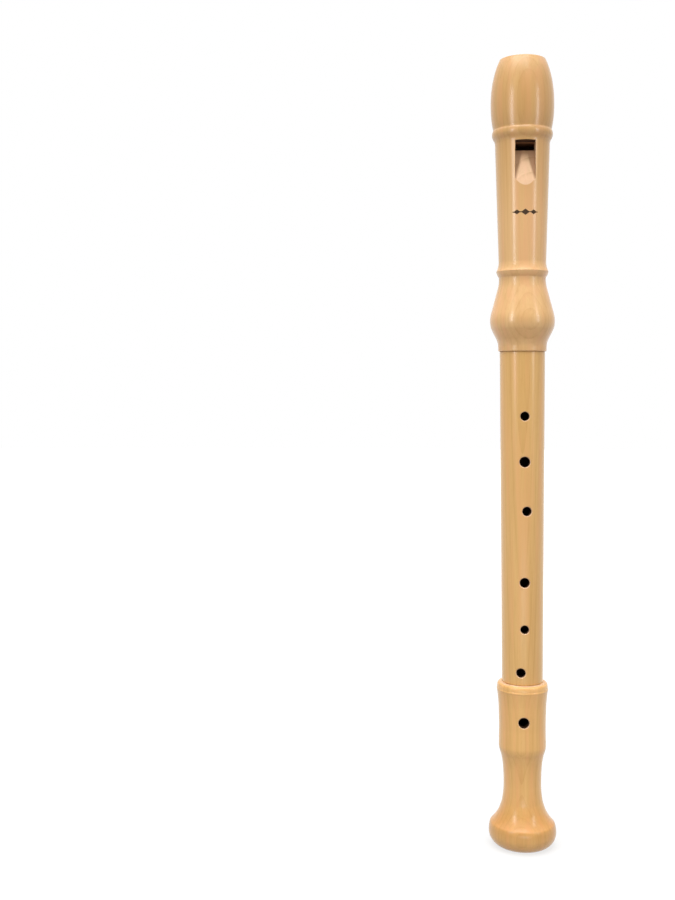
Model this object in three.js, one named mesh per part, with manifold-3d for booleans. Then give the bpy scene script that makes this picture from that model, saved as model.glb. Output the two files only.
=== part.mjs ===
// Alto recorder in three turned wooden joints. Millimetres, +Z up along the bore, beak at the top.
// The origin is the centre of the foot's end face. The window and the finger holes face -Y.
import * as THREE from 'three';
import { mergeVertices } from 'three/addons/utils/BufferGeometryUtils.js';
import Module from 'manifold-3d';

const wasm = await Module();
wasm.setup();

// Lengths of the three joints, as they show when the recorder is put together
const HEAD_LENGTH = 178.5;
const MIDDLE_LENGTH = 202.1;
const FOOT_LENGTH = 99.4;

// Bore, from the beak down: a cylinder in the head, then a cone that narrows to the foot
const HEAD_BORE_R = 9.75;
const MIDDLE_BORE_TOP_R = 9.4;
const MIDDLE_BORE_BOTTOM_R = 7.3;
const FOOT_BORE_TOP_R = 6.9;
const FOOT_BORE_BOTTOM_R = 6.3;
const FOOT_MOUTH_R = 8.2;
const FOOT_MOUTH_DEPTH = 5;

// Outside of the middle joint, a plain taper
const TUBE_TOP_R = 13.72;
const TUBE_BOTTOM_R = 12.38;

// Tenons, and the cork lapped round each in a groove
const UPPER_TENON_LENGTH = 21.5;
const UPPER_TENON_R = 12.2;
const UPPER_CORK_LENGTH = 14;
const LOWER_TENON_LENGTH = 16;
const LOWER_TENON_R = 10.9;
const LOWER_CORK_LENGTH = 10;
const CORK_LAND = 3.2;
const CORK_THICKNESS = 1.2;
const CORK_PROUD = 0.3;
const TENON_CHAMFER = 0.6;

// Clearances: between pieces that fit together, and below a tenon's end in its socket
const FIT_GAP = 0.25;
const SEAT_GAP = 0.3;
const SOCKET_END_GAP = 0.6;

// Windway, window and labium, in the front of the head joint
const BLOCK_LENGTH = 52.5;
const WINDWAY_WIDTH = 12.3;
const WINDWAY_FLOOR_Y = -9.2;
const WINDWAY_EXIT_HEIGHT = 1.4;
const WINDWAY_ENTRY_HEIGHT = 2.2;
const CUT_UP = 4.8;
const LABIUM_THICKNESS = 0.5;
const LABIUM_RAMP_ANGLE = THREE.MathUtils.degToRad(14.4);
const LABIUM_UNDERCUT_LENGTH = 8;

// Beak: a round hollow scooped out of the back, across the tip
const BEAK_TIP_THICKNESS = 12.6;
const BEAK_SCOOP_R = 48;

// Turned stations of the head joint: [radius, height above its lower end]
const SOCKET_LIP = [14.62, 0];
const SOCKET_COVE = [14.7, 2.9];
const BULGE_FOOT = [16.9, 8.2];
const BULGE_UNDER = [19.3, 13.9];
const BULGE_TOP = [19.3, 20.8];
const BULGE_FLANK = [15.4, 39.3];
const NECK = [14.2, 43.2];
const NECK_RING_UNDER = [14.3, 45.2];
const NECK_RING_EDGE = [15.85, 48.8];
const NECK_RING_TOP = [14.4, 54.4];

// Turned stations of the head joint: [radius, depth below its top end]
const WINDOW_RING_FOOT = [16.66, 52.3];
const WINDOW_RING_UNDER = [17.9, 49.6];
const WINDOW_RING_EDGE = [18.45, 45.2];
const WINDOW_RING_TOP = [18.0, 43];
const BARREL = [19.3, 27];
const BEAK_SHOULDER = [19.2, 11];
const BEAK_TIP = [14.4, 0.6];
const BEAK_EDGE = [13.6, 0];

// Turned stations of the foot joint: [radius, depth below its top end]
const FOOT_LIP = [13.1, 0];
const FOOT_LIP_EDGE = [13.5, 0.4];
const FOOT_RIM = [15.6, 3.2];
const FOOT_RIM_UNDER = [15.5, 4.8];
const FOOT_BARREL_TOP = [14.55, 13.5];
const FOOT_BARREL = [14.15, 28];
const FOOT_SHOULDER = [14.35, 39];

// Turned stations of the foot joint: [radius, height above its end face]
const SHOULDER_STEP = [13.3, 56];
const WAIST_TOP = [12.1, 50.3];
const WAIST = [11.4, 37.5];
const WAIST_FOOT = [12.4, 26.4];
const BELL_FLARE = [14.2, 20.9];
const BELL_TOP = [19.45, 13.5];
const BELL = [20.45, 8];
const BELL_UNDER = [17.2, 0.9];
const END_FACE_R = 15.6;

// Tone holes: radius, place, and turn round the tube from the front.
// The left hand's holes are set down from the upper shoulder, the right hand's up from the lower one.
const LEFT_HAND_HOLES = [
  { radius: 3.25, below: 19.5, turn: 180 },
  { radius: 2.7, below: 39.4, turn: 0 },
  { radius: 3.15, below: 67.0, turn: 0 },
  { radius: 2.8, below: 96.8, turn: 6 },
];
const RIGHT_HAND_HOLES = [
  { radius: 2.95, above: 62.2, turn: 0 },
  { radius: 2.55, above: 33.9, turn: 0 },
  { radius: 2.75, above: 7.7, turn: -11 },
];
const FOOT_HOLE = { radius: 3.2, belowSocket: 5.7, turn: -3 };

// Facets of a full turn, of a tone hole, and of one curved stretch of an outline
const TURN_FACETS = 40;
const HOLE_FACETS = 20;
const CURVE_STEPS = 4;
const MERGE_DISTANCE = 1e-4;
const OUTSIDE = 60;

// Heights of the joints' ends, and of what lines up with them
const HEAD_BOTTOM = FOOT_LENGTH + MIDDLE_LENGTH;
const TOP = HEAD_BOTTOM + HEAD_LENGTH;
const WINDOW_TOP = TOP - BLOCK_LENGTH;
const LABIUM_Z = WINDOW_TOP - CUT_UP;
const UPPER_SHOULDER = HEAD_BOTTOM - SEAT_GAP;
const LOWER_SHOULDER = FOOT_LENGTH + SEAT_GAP;
const UPPER_TENON_END = UPPER_SHOULDER + UPPER_TENON_LENGTH;
const LOWER_TENON_END = LOWER_SHOULDER - LOWER_TENON_LENGTH;
const UPPER_SOCKET_FLOOR = UPPER_TENON_END + SOCKET_END_GAP;
const LOWER_SOCKET_FLOOR = LOWER_TENON_END - SOCKET_END_GAP;

const MAPLE = { color: 0xc98a45, roughness: 0.4, metalness: 0 };
const CEDAR = { color: 0xa8603a, roughness: 0.7, metalness: 0 };
const CORK = { color: 0xb98a5c, roughness: 0.9, metalness: 0 };

// A station's point on an outline, with its height read up from, or down from, an end
const rising = (end) => ([radius, height]) => new THREE.Vector2(radius, end + height);
const falling = (end) => ([radius, depth]) => new THREE.Vector2(radius, end - depth);

function lineTo(path, ...points) {
  points.forEach((point) => path.lineTo(point.x, point.y));
}

function curveTo(path, handle, end) {
  path.quadraticCurveTo(handle.x, handle.y, end.x, end.y);
}

// A closed mesh with its shared corners merged, as a solid that can be cut and joined
function solidOf(geometry) {
  geometry.deleteAttribute('normal');
  geometry.deleteAttribute('uv');
  const merged = mergeVertices(geometry, MERGE_DISTANCE);
  const vertProperties = merged.attributes.position.array;
  const triVerts = Uint32Array.from(merged.index.array);
  return new wasm.Manifold(new wasm.Mesh({ numProp: 3, vertProperties, triVerts }));
}

// Turns a closed outline of (radius, height) points about the Z axis
function turned(path) {
  const outline = path.getPoints(CURVE_STEPS);
  outline.push(outline[0].clone());
  return solidOf(new THREE.LatheGeometry(outline, TURN_FACETS).rotateX(Math.PI / 2));
}

// A prism across the front of the head: (y, z) corners, and its full width along X
function crosswise(corners, width) {
  const shape = new THREE.Shape(corners.map(([y, z]) => new THREE.Vector2(y, z)));
  const prism = new THREE.ExtrudeGeometry(shape, { depth: width, bevelEnabled: false });
  prism.translate(0, 0, -width / 2);
  const axes = new THREE.Matrix4().makeBasis(
    new THREE.Vector3(0, 1, 0),
    new THREE.Vector3(0, 0, 1),
    new THREE.Vector3(1, 0, 0),
  );
  return solidOf(prism.applyMatrix4(axes));
}

// A drill from the bore's axis out through one wall, at height z
function drill(radius, z, turn) {
  const bit = new THREE.CylinderGeometry(radius, radius, OUTSIDE, HOLE_FACETS);
  bit.translate(0, -OUTSIDE / 2, 0);
  bit.rotateZ(THREE.MathUtils.degToRad(turn));
  return solidOf(bit.translate(0, 0, z));
}

function named(name, solid, finish) {
  const mesh = solid.getMesh();
  const geometry = new THREE.BufferGeometry();
  geometry.setAttribute('position', new THREE.BufferAttribute(mesh.vertProperties, 3));
  geometry.setIndex(new THREE.BufferAttribute(mesh.triVerts, 1));
  geometry.computeVertexNormals();
  const piece = new THREE.Mesh(geometry, new THREE.MeshStandardMaterial(finish));
  piece.name = name;
  return piece;
}

// The scoop that hollows the back of the beak, through the head and the block alike
function beakScoop() {
  const scoop = new THREE.CylinderGeometry(BEAK_SCOOP_R, BEAK_SCOOP_R, OUTSIDE, 2 * TURN_FACETS);
  scoop.rotateZ(Math.PI / 2);
  const tipBack = BEAK_TIP_THICKNESS - BEAK_TIP[0];
  return solidOf(scoop.translate(0, tipBack + BEAK_SCOOP_R, TOP));
}

// Outside and socket of the head joint, with a solid barrel above the bore's floor
function headBlank() {
  const up = rising(HEAD_BOTTOM);
  const down = falling(TOP);
  const socketR = UPPER_TENON_R + CORK_PROUD + FIT_GAP;
  const path = new THREE.Path();
  path.moveTo(socketR, HEAD_BOTTOM);
  lineTo(path, up(SOCKET_LIP), up(SOCKET_COVE));
  curveTo(path, up([SOCKET_COVE[0], 5.6]), up(BULGE_FOOT));
  curveTo(path, up([18.6, 11.6]), up(BULGE_UNDER));
  curveTo(path, up([19.95, 17.5]), up(BULGE_TOP));
  curveTo(path, up([16.8, 33]), up(BULGE_FLANK));
  curveTo(path, up([14.2, 42]), up(NECK));
  lineTo(path, up(NECK_RING_UNDER));
  curveTo(path, up([15.4, 46.6]), up(NECK_RING_EDGE));
  curveTo(path, up([14.6, 51.2]), up(NECK_RING_TOP));
  lineTo(path, down(WINDOW_RING_FOOT));
  curveTo(path, down([16.9, 51]), down(WINDOW_RING_UNDER));
  curveTo(path, down([18.6, 48.2]), down(WINDOW_RING_EDGE));
  curveTo(path, down([18.05, 44.6]), down(WINDOW_RING_TOP));
  curveTo(path, down([BARREL[0], 36]), down(BARREL));
  curveTo(path, down(BEAK_SHOULDER), down(BEAK_TIP));
  lineTo(path, down(BEAK_EDGE), new THREE.Vector2(HEAD_BORE_R, TOP));
  lineTo(path, new THREE.Vector2(HEAD_BORE_R, UPPER_SOCKET_FLOOR));
  lineTo(path, new THREE.Vector2(socketR, UPPER_SOCKET_FLOOR));
  return turned(path);
}

// Groove above the block: its roof closes in on the floor from the tip to the window
function windwayGroove() {
  const inside = WINDWAY_FLOOR_Y + HEAD_BORE_R / 2;
  return crosswise([
    [inside, WINDOW_TOP],
    [inside, TOP + 1],
    [WINDWAY_FLOOR_Y - WINDWAY_ENTRY_HEIGHT, TOP + 1],
    [WINDWAY_FLOOR_Y - WINDWAY_EXIT_HEIGHT, WINDOW_TOP],
  ], WINDWAY_WIDTH);
}

// Window, with the labium's ramp below it: one cut from the outside into the bore
function windowAndRamp() {
  const edgeY = -(HEAD_BORE_R + LABIUM_THICKNESS);
  const rampEnd = LABIUM_Z - (OUTSIDE / 2 + edgeY) / Math.tan(LABIUM_RAMP_ANGLE);
  return crosswise([
    [WINDWAY_FLOOR_Y + HEAD_BORE_R / 2, LABIUM_Z],
    [WINDWAY_FLOOR_Y + HEAD_BORE_R / 2, WINDOW_TOP],
    [-OUTSIDE / 2, WINDOW_TOP],
    [-OUTSIDE / 2, rampEnd],
    [edgeY, LABIUM_Z],
  ], WINDWAY_WIDTH);
}

// Flat shaving behind the labium, so that its edge is thin over the whole width
function labiumUndercut() {
  const boreAtWindowSide = Math.sqrt(HEAD_BORE_R ** 2 - (WINDWAY_WIDTH / 2) ** 2);
  return crosswise([
    [0, LABIUM_Z - LABIUM_UNDERCUT_LENGTH],
    [0, LABIUM_Z],
    [-HEAD_BORE_R, LABIUM_Z],
    [-boreAtWindowSide, LABIUM_Z - LABIUM_UNDERCUT_LENGTH],
  ], WINDWAY_WIDTH);
}

function headJoint() {
  const cuts = [windwayGroove(), windowAndRamp(), labiumUndercut(), beakScoop()];
  const solid = cuts.reduce((head, cut) => head.subtract(cut), headBlank());
  return named('head_joint', solid, MAPLE);
}

// Cedar plug in the head's bore, with a raised rib whose flat top is the windway's floor
function block() {
  const radius = HEAD_BORE_R - FIT_GAP;
  const plug = new THREE.CylinderGeometry(radius, radius, BLOCK_LENGTH, TURN_FACETS);
  plug.rotateX(Math.PI / 2).translate(0, 0, TOP - BLOCK_LENGTH / 2);
  const rib = crosswise([
    [0, WINDOW_TOP],
    [0, TOP],
    [WINDWAY_FLOOR_Y, TOP],
    [WINDWAY_FLOOR_Y, WINDOW_TOP],
  ], WINDWAY_WIDTH - 2 * FIT_GAP);
  const aboveFloor = crosswise([
    [WINDWAY_FLOOR_Y, WINDOW_TOP - 1],
    [WINDWAY_FLOOR_Y, TOP + 1],
    [-OUTSIDE / 2, TOP + 1],
    [-OUTSIDE / 2, WINDOW_TOP - 1],
  ], OUTSIDE);
  const solid = solidOf(plug).add(rib).subtract(aboveFloor).subtract(beakScoop());
  return named('block', solid, CEDAR);
}

// Half of the middle joint's outline: one tenon, from its shoulder to its end.
// The direction is +1 for the tenon that points up and -1 for the one that points down.
function tenonPoints(shoulder, direction, radius, length, corkLength) {
  const grooveR = radius + CORK_PROUD - CORK_THICKNESS - FIT_GAP;
  const station = (r, along) => new THREE.Vector2(r, shoulder + direction * along);
  return [
    station(radius, 0),
    station(radius, CORK_LAND),
    station(grooveR, CORK_LAND),
    station(grooveR, CORK_LAND + corkLength + 2 * FIT_GAP),
    station(radius, CORK_LAND + corkLength + 2 * FIT_GAP),
    station(radius, length - TENON_CHAMFER),
    station(radius - TENON_CHAMFER, length),
  ];
}

function middleJoint() {
  const upper = tenonPoints(UPPER_SHOULDER, 1, UPPER_TENON_R, UPPER_TENON_LENGTH, UPPER_CORK_LENGTH);
  const lower = tenonPoints(LOWER_SHOULDER, -1, LOWER_TENON_R, LOWER_TENON_LENGTH, LOWER_CORK_LENGTH);
  const path = new THREE.Path();
  path.moveTo(MIDDLE_BORE_BOTTOM_R, LOWER_TENON_END);
  lineTo(path, ...lower.reverse());
  lineTo(path, new THREE.Vector2(TUBE_BOTTOM_R, LOWER_SHOULDER));
  lineTo(path, new THREE.Vector2(TUBE_TOP_R, UPPER_SHOULDER));
  lineTo(path, ...upper, new THREE.Vector2(MIDDLE_BORE_TOP_R, UPPER_TENON_END));
  const leftHand = LEFT_HAND_HOLES.map((h) => drill(h.radius, HEAD_BOTTOM - h.below, h.turn));
  const rightHand = RIGHT_HAND_HOLES.map((h) => drill(h.radius, FOOT_LENGTH + h.above, h.turn));
  const solid = [...leftHand, ...rightHand].reduce((tube, bit) => tube.subtract(bit), turned(path));
  return named('middle_joint', solid, MAPLE);
}

// Cork lap: a plain ring in its tenon's groove, standing a little proud of the wood
function corkLap(name, shoulder, direction, tenonR, length) {
  const outerR = tenonR + CORK_PROUD;
  const innerR = outerR - CORK_THICKNESS;
  const low = shoulder + direction * (CORK_LAND + FIT_GAP + length / 2) - length / 2;
  const path = new THREE.Path();
  path.moveTo(innerR, low);
  lineTo(path, new THREE.Vector2(outerR, low), new THREE.Vector2(outerR, low + length));
  lineTo(path, new THREE.Vector2(innerR, low + length));
  return named(name, turned(path), CORK);
}

function footJoint() {
  const down = falling(FOOT_LENGTH);
  const up = rising(0);
  const socketR = LOWER_TENON_R + CORK_PROUD + FIT_GAP;
  const path = new THREE.Path();
  path.moveTo(FOOT_MOUTH_R, 0);
  lineTo(path, new THREE.Vector2(END_FACE_R, 0));
  lineTo(path, up(BELL_UNDER));
  curveTo(path, up([20.4, 3.2]), up(BELL));
  curveTo(path, up([20.4, 11.6]), up(BELL_TOP));
  curveTo(path, up([16.2, 16.6]), up(BELL_FLARE));
  curveTo(path, up([13, 24]), up(WAIST_FOOT));
  curveTo(path, up([11.35, 32]), up(WAIST));
  curveTo(path, up([11.45, 45]), up(WAIST_TOP));
  lineTo(path, up(SHOULDER_STEP), up([13.9, 57.5]), down(FOOT_SHOULDER));
  lineTo(path, down(FOOT_BARREL));
  curveTo(path, down([14.3, 20]), down(FOOT_BARREL_TOP));
  curveTo(path, down([14.8, 9.5]), down(FOOT_RIM_UNDER));
  lineTo(path, down(FOOT_RIM));
  curveTo(path, down([15, 1]), down(FOOT_LIP_EDGE));
  lineTo(path, down(FOOT_LIP), new THREE.Vector2(socketR, FOOT_LENGTH));
  lineTo(path, new THREE.Vector2(socketR, LOWER_SOCKET_FLOOR));
  lineTo(path, new THREE.Vector2(FOOT_BORE_TOP_R, LOWER_SOCKET_FLOOR));
  lineTo(path, new THREE.Vector2(FOOT_BORE_BOTTOM_R, FOOT_MOUTH_DEPTH));
  const holeZ = LOWER_SOCKET_FLOOR - FOOT_HOLE.belowSocket;
  const solid = turned(path).subtract(drill(FOOT_HOLE.radius, holeZ, FOOT_HOLE.turn));
  return named('foot_joint', solid, MAPLE);
}

const recorder = new THREE.Group();
recorder.add(
  headJoint(),
  block(),
  corkLap('upper_cork', UPPER_SHOULDER, 1, UPPER_TENON_R, UPPER_CORK_LENGTH),
  middleJoint(),
  corkLap('lower_cork', LOWER_SHOULDER, -1, LOWER_TENON_R, LOWER_CORK_LENGTH),
  footJoint(),
);

export default recorder;
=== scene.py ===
"""Alto recorder in three turned maple joints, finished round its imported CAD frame. Metres, +Z up the bore."""

import math

import bpy
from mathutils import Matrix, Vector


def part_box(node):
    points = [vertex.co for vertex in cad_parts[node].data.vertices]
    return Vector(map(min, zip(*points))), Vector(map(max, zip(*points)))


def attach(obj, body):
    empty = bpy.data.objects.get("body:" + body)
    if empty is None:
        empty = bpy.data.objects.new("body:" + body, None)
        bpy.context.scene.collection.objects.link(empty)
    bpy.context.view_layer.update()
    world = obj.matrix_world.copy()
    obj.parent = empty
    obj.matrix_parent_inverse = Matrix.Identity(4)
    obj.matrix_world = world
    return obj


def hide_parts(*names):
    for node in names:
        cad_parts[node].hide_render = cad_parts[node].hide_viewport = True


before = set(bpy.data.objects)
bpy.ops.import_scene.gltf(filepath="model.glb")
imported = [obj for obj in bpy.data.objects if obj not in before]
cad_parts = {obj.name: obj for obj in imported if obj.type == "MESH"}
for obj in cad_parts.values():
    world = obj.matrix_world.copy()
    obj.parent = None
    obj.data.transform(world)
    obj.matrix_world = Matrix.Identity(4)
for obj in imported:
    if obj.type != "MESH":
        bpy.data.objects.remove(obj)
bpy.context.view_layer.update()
bpy.ops.object.select_all(action="DESELECT")


# ------------------------------------------------------------------ Studio
# The recorder stands on a white floor, a little to the right of the camera's own line of sight.
# A white light tent glows overhead, with a softbox over the beak and a strip softbox at each side in
# front. A long low one with a honeycomb grid, on the floor in front, lights the bell. The floor sends
# a little of its white back up.

CAMERA_AZIMUTH = -7.0
CAMERA_DISTANCE = 0.7145
CAMERA_HEIGHT = 0.284
CAMERA_YAW = 2.13
LENS = 46.0
DROP_SHIFT = -0.0778
WHITE = (1.0, 1.0, 1.0, 1.0)
TENT_EDGE = (0.47, 0.62)
TENT_LIGHT = 1.8
ROOM_FILL = 0.1
FLOOR_PAPER = (0.18, 0.18, 0.18, 1.0)
NEAR_GLOW = 0.74
NEAR_FLOOR = 0.15
FAR_FLOOR = 0.9
FLOOR_BOUNCE = 0.24

scene = bpy.context.scene
scene.view_settings.view_transform = "Standard"

camera = bpy.data.objects.new("camera", bpy.data.cameras.new("camera"))
scene.collection.objects.link(camera)
scene.camera = camera
camera.data.lens = LENS
camera.data.shift_y = DROP_SHIFT
camera.data.clip_start = 0.01
camera.location = (
    CAMERA_DISTANCE * math.sin(math.radians(CAMERA_AZIMUTH)),
    -CAMERA_DISTANCE * math.cos(math.radians(CAMERA_AZIMUTH)),
    CAMERA_HEIGHT,
)
camera.rotation_euler = (math.pi / 2, 0, math.radians(CAMERA_YAW))


def softbox(name, azimuth, elevation, distance, aim, width, height, power, grid=180):
    """A softbox that faces a height on the bore's axis from that azimuth and elevation. A grid on its
    front narrows its light to an angle."""
    turn, lift = math.radians(azimuth), math.radians(elevation)
    lamp = bpy.data.lights.new(name, "AREA")
    lamp.shape = "RECTANGLE"
    lamp.size, lamp.size_y = width, height
    lamp.energy = power
    lamp.spread = math.radians(grid)
    box = bpy.data.objects.new(name, lamp)
    box.location = (
        distance * math.sin(turn) * math.cos(lift),
        -distance * math.cos(turn) * math.cos(lift),
        aim + distance * math.sin(lift),
    )
    box.rotation_euler = (math.pi / 2 - lift, 0, turn)
    scene.collection.objects.link(box)


softbox("left_strip", -45, 0, 0.8, 0.52, width=0.11, height=0.48, power=2.0)
softbox("right_strip", 50, 0, 0.8, 0.52, width=0.07, height=0.48, power=1.35)
softbox("top_box", -20, 78, 0.8, 0.4, width=0.8, height=0.8, power=7.5)
softbox("low_strip", 0, 0, 0.6, 0.035, width=1.4, height=0.07, power=0.13, grid=50)


def node(tree, kind, inputs=None, **settings):
    """A node with its settings by name, and its inputs by name or number from a value or an output."""
    made = tree.nodes.new(kind)
    for name, value in settings.items():
        setattr(made, name, value)
    for name, value in (inputs or {}).items():
        if isinstance(value, bpy.types.NodeSocket):
            tree.links.new(value, made.inputs[name])
        else:
            made.inputs[name].default_value = value
    return made


def math_node(tree, operation, a, b=0.0, clamp=False):
    """The result of a Math node on two values or outputs."""
    made = node(tree, "ShaderNodeMath", {0: a, 1: b}, operation=operation, use_clamp=clamp)
    return made.outputs[0]


def spread(tree, value, low, high, to_low=0.0, to_high=1.0):
    """A Map Range node's clamped result."""
    made = node(
        tree,
        "ShaderNodeMapRange",
        {"Value": value, "From Min": low, "From Max": high, "To Min": to_low, "To Max": to_high},
    )
    return made.outputs["Result"]


def shows_white(tree):
    """1 on the rays that look for the background, from the camera, a gloss or a glass."""
    rays = node(tree, "ShaderNodeLightPath").outputs
    either = math_node(tree, "MAXIMUM", rays["Is Camera Ray"], rays["Is Glossy Ray"])
    return math_node(tree, "MAXIMUM", either, rays["Is Transmission Ray"])


world = bpy.data.worlds.new("white_studio")
scene.world = world
world.use_nodes = True
tree = world.node_tree
sky = node(tree, "ShaderNodeTexCoord").outputs["Generated"]
sky = node(tree, "ShaderNodeSeparateXYZ", {0: sky}).outputs[2]
tent = math_node(tree, "MULTIPLY", spread(tree, sky, *TENT_EDGE), TENT_LIGHT)
tent = math_node(tree, "MAXIMUM", tent, spread(tree, shows_white(tree), 0, 1, ROOM_FILL, 1.0))
seen = node(tree, "ShaderNodeLightPath").outputs["Is Camera Ray"]
tent = math_node(tree, "MINIMUM", tent, spread(tree, seen, 0, 1, TENT_LIGHT, 1.0))
room = tree.nodes["Background"]
room.inputs["Color"].default_value = WHITE
tree.links.new(tent, room.inputs["Strength"])

bpy.ops.mesh.primitive_plane_add(size=8, location=(0, 0, -0.0002))
floor = bpy.context.object
floor.name = "floor"
bpy.ops.object.transform_apply(location=True)
paper = bpy.data.materials.new("white_floor")
paper.use_nodes = True
tree = paper.node_tree
tree.nodes.remove(tree.nodes["Principled BSDF"])
matt = node(tree, "ShaderNodeBsdfDiffuse", {"Color": FLOOR_PAPER})
spot = node(tree, "ShaderNodeTexCoord").outputs["Object"]
away = node(tree, "ShaderNodeVectorMath", {0: spot}, operation="LENGTH").outputs["Value"]
away = spread(tree, away, NEAR_FLOOR, FAR_FLOOR, NEAR_GLOW, 1.0)
glow = math_node(tree, "MULTIPLY", spread(tree, shows_white(tree), 0, 1, FLOOR_BOUNCE, 1.0), away)
glow = node(tree, "ShaderNodeEmission", {"Color": WHITE, "Strength": glow})
both = node(tree, "ShaderNodeAddShader", {0: matt.outputs[0], 1: glow.outputs[0]})
tree.links.new(both.outputs[0], tree.nodes["Material Output"].inputs["Surface"])
floor.data.materials.append(paper)


# ------------------------------------------------------------------ Middle joint
# The tube under the fingers: maple, turned to a plain taper with a tenon at each end, and bored
# to a cone. Six finger holes and a thumb hole are drilled from outside and their lips rounded.

MM = 0.001
FACETS = 160
CURVE_STEP = 0.7 * MM
TUBE_STEP = 1.3 * MM
SMOOTH_ANGLE = math.radians(22)
TOUCH = 1e-4 * MM
HAIR = 0.01 * MM
NEAR = 0.1 * MM

SEAT_GAP = 0.14 * MM
FIT_GAP = 0.25 * MM
TUBE_TOP_R = 13.72
TUBE_BOTTOM_R = 12.38
MIDDLE_BORE_TOP_R = 9.4
MIDDLE_BORE_BOTTOM_R = 7.3
UPPER_TENON_R = 12.2
LOWER_TENON_R = 10.9
CORK_THICKNESS = 1.2
CORK_PROUD = 0.3
TENON_CHAMFER = 0.6
SHOULDER_ROUND = 0.35

HOLE_FACETS = 56
LIP_ROUND = 0.9
LIP_TURN = math.radians(60)
LIP_STEPS = 4
DRILL_FROM = 2
DRILL_FLARE = 1.0
DRILL_PAST = 4
DARK_DEPTH = 0.9
LIP_SHEEN = 0.03

foot_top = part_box("foot_joint")[1].z
head_low, head_top = (corner.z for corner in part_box("head_joint"))
middle_low, middle_high = (corner.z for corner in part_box("middle_joint"))
upper_cork_low, upper_cork_high = (corner.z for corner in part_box("upper_cork"))
lower_cork_low, lower_cork_high = (corner.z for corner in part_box("lower_cork"))
upper_shoulder = head_low - SEAT_GAP
lower_shoulder = foot_top + SEAT_GAP


def along(end, direction):
    """Places a (radius, distance) station, in millimetres, up (1) or down (-1) from a joint's end."""
    return lambda radius, distance: (radius * MM, end + direction * distance * MM)


def drawn(start, *strokes, step=CURVE_STEP):
    """An outline of (radius, height) points. A stroke is one point for a single straight cut, or a
    handle and a point for a curve, which is drawn in short steps. A handle on the line keeps it straight."""
    points = [start]
    for stroke in strokes:
        a, b = points[-1], stroke[-1]
        if len(stroke) == 1:
            points.append(b)
            continue
        handle = stroke[0]
        length = math.dist(a, handle) + math.dist(handle, b)
        count = max(5, math.ceil(length / step))
        for i in range(1, count + 1):
            t = i / count
            points.append(
                tuple(
                    (1 - t) ** 2 * p + 2 * t * (1 - t) * h + t * t * q
                    for p, h, q in zip(a, handle, b)
                )
            )
    return points


def straight(a, b):
    """A fine straight stroke from a to b."""
    return [tuple((p + q) / 2 for p, q in zip(a, b)), b]


def edit(piece):
    """Opens one piece in edit mode with all of it selected."""
    bpy.ops.object.select_all(action="DESELECT")
    piece.select_set(True)
    bpy.context.view_layer.objects.active = piece
    bpy.ops.object.mode_set(mode="EDIT")
    bpy.ops.mesh.select_all(action="SELECT")


def wire(name, points):
    """Draws points as one chain of edges, from a single vertex extruded again and again."""
    bpy.ops.object.select_all(action="DESELECT")
    bpy.ops.mesh.primitive_plane_add(size=MM, location=points[0])
    piece = bpy.context.object
    piece.name = piece.data.name = name
    bpy.ops.object.transform_apply(location=True)
    edit(piece)
    bpy.ops.mesh.merge(type="CENTER")
    for a, b in zip(points, points[1:]):
        move = tuple(q - p for p, q in zip(a, b))
        bpy.ops.mesh.extrude_region_move(TRANSFORM_OT_translate={"value": move})
    bpy.ops.mesh.select_all(action="SELECT")
    return piece


def turned(name, outline):
    """Spins an outline once round the bore's axis, as on a lathe."""
    piece = wire(name, [(radius, 0, height) for radius, height in outline])
    bpy.ops.mesh.spin(steps=FACETS, angle=2 * math.pi, center=(0, 0, 0), axis=(0, 0, 1))
    bpy.ops.mesh.select_all(action="SELECT")
    bpy.ops.mesh.remove_doubles(threshold=0.002 * MM)
    bpy.ops.mesh.normals_make_consistent(inside=False)
    bpy.ops.object.mode_set(mode="OBJECT")
    return piece


def outside_radius(outline, height):
    """How far out an outline reaches at a height."""
    reach = 0.0
    for (r0, z0), (r1, z1) in zip(outline, outline[1:]):
        if not min(z0, z1) - TOUCH <= height <= max(z0, z1) + TOUCH:
            continue
        if abs(z1 - z0) > TOUCH:
            reach = max(reach, r0 + (height - z0) / (z1 - z0) * (r1 - r0))
        else:
            reach = max(reach, r0, r1)
    return reach


def combine(piece, other, operation):
    """Cuts the other shape out of the piece or adds it, and throws the other away."""
    bpy.ops.object.select_all(action="DESELECT")
    bpy.context.view_layer.objects.active = piece
    modifier = piece.modifiers.new("carve", "BOOLEAN")
    modifier.operation = operation
    modifier.solver = "EXACT"
    modifier.object = other
    bpy.ops.object.modifier_apply(modifier=modifier.name)
    bpy.data.objects.remove(other)


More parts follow.
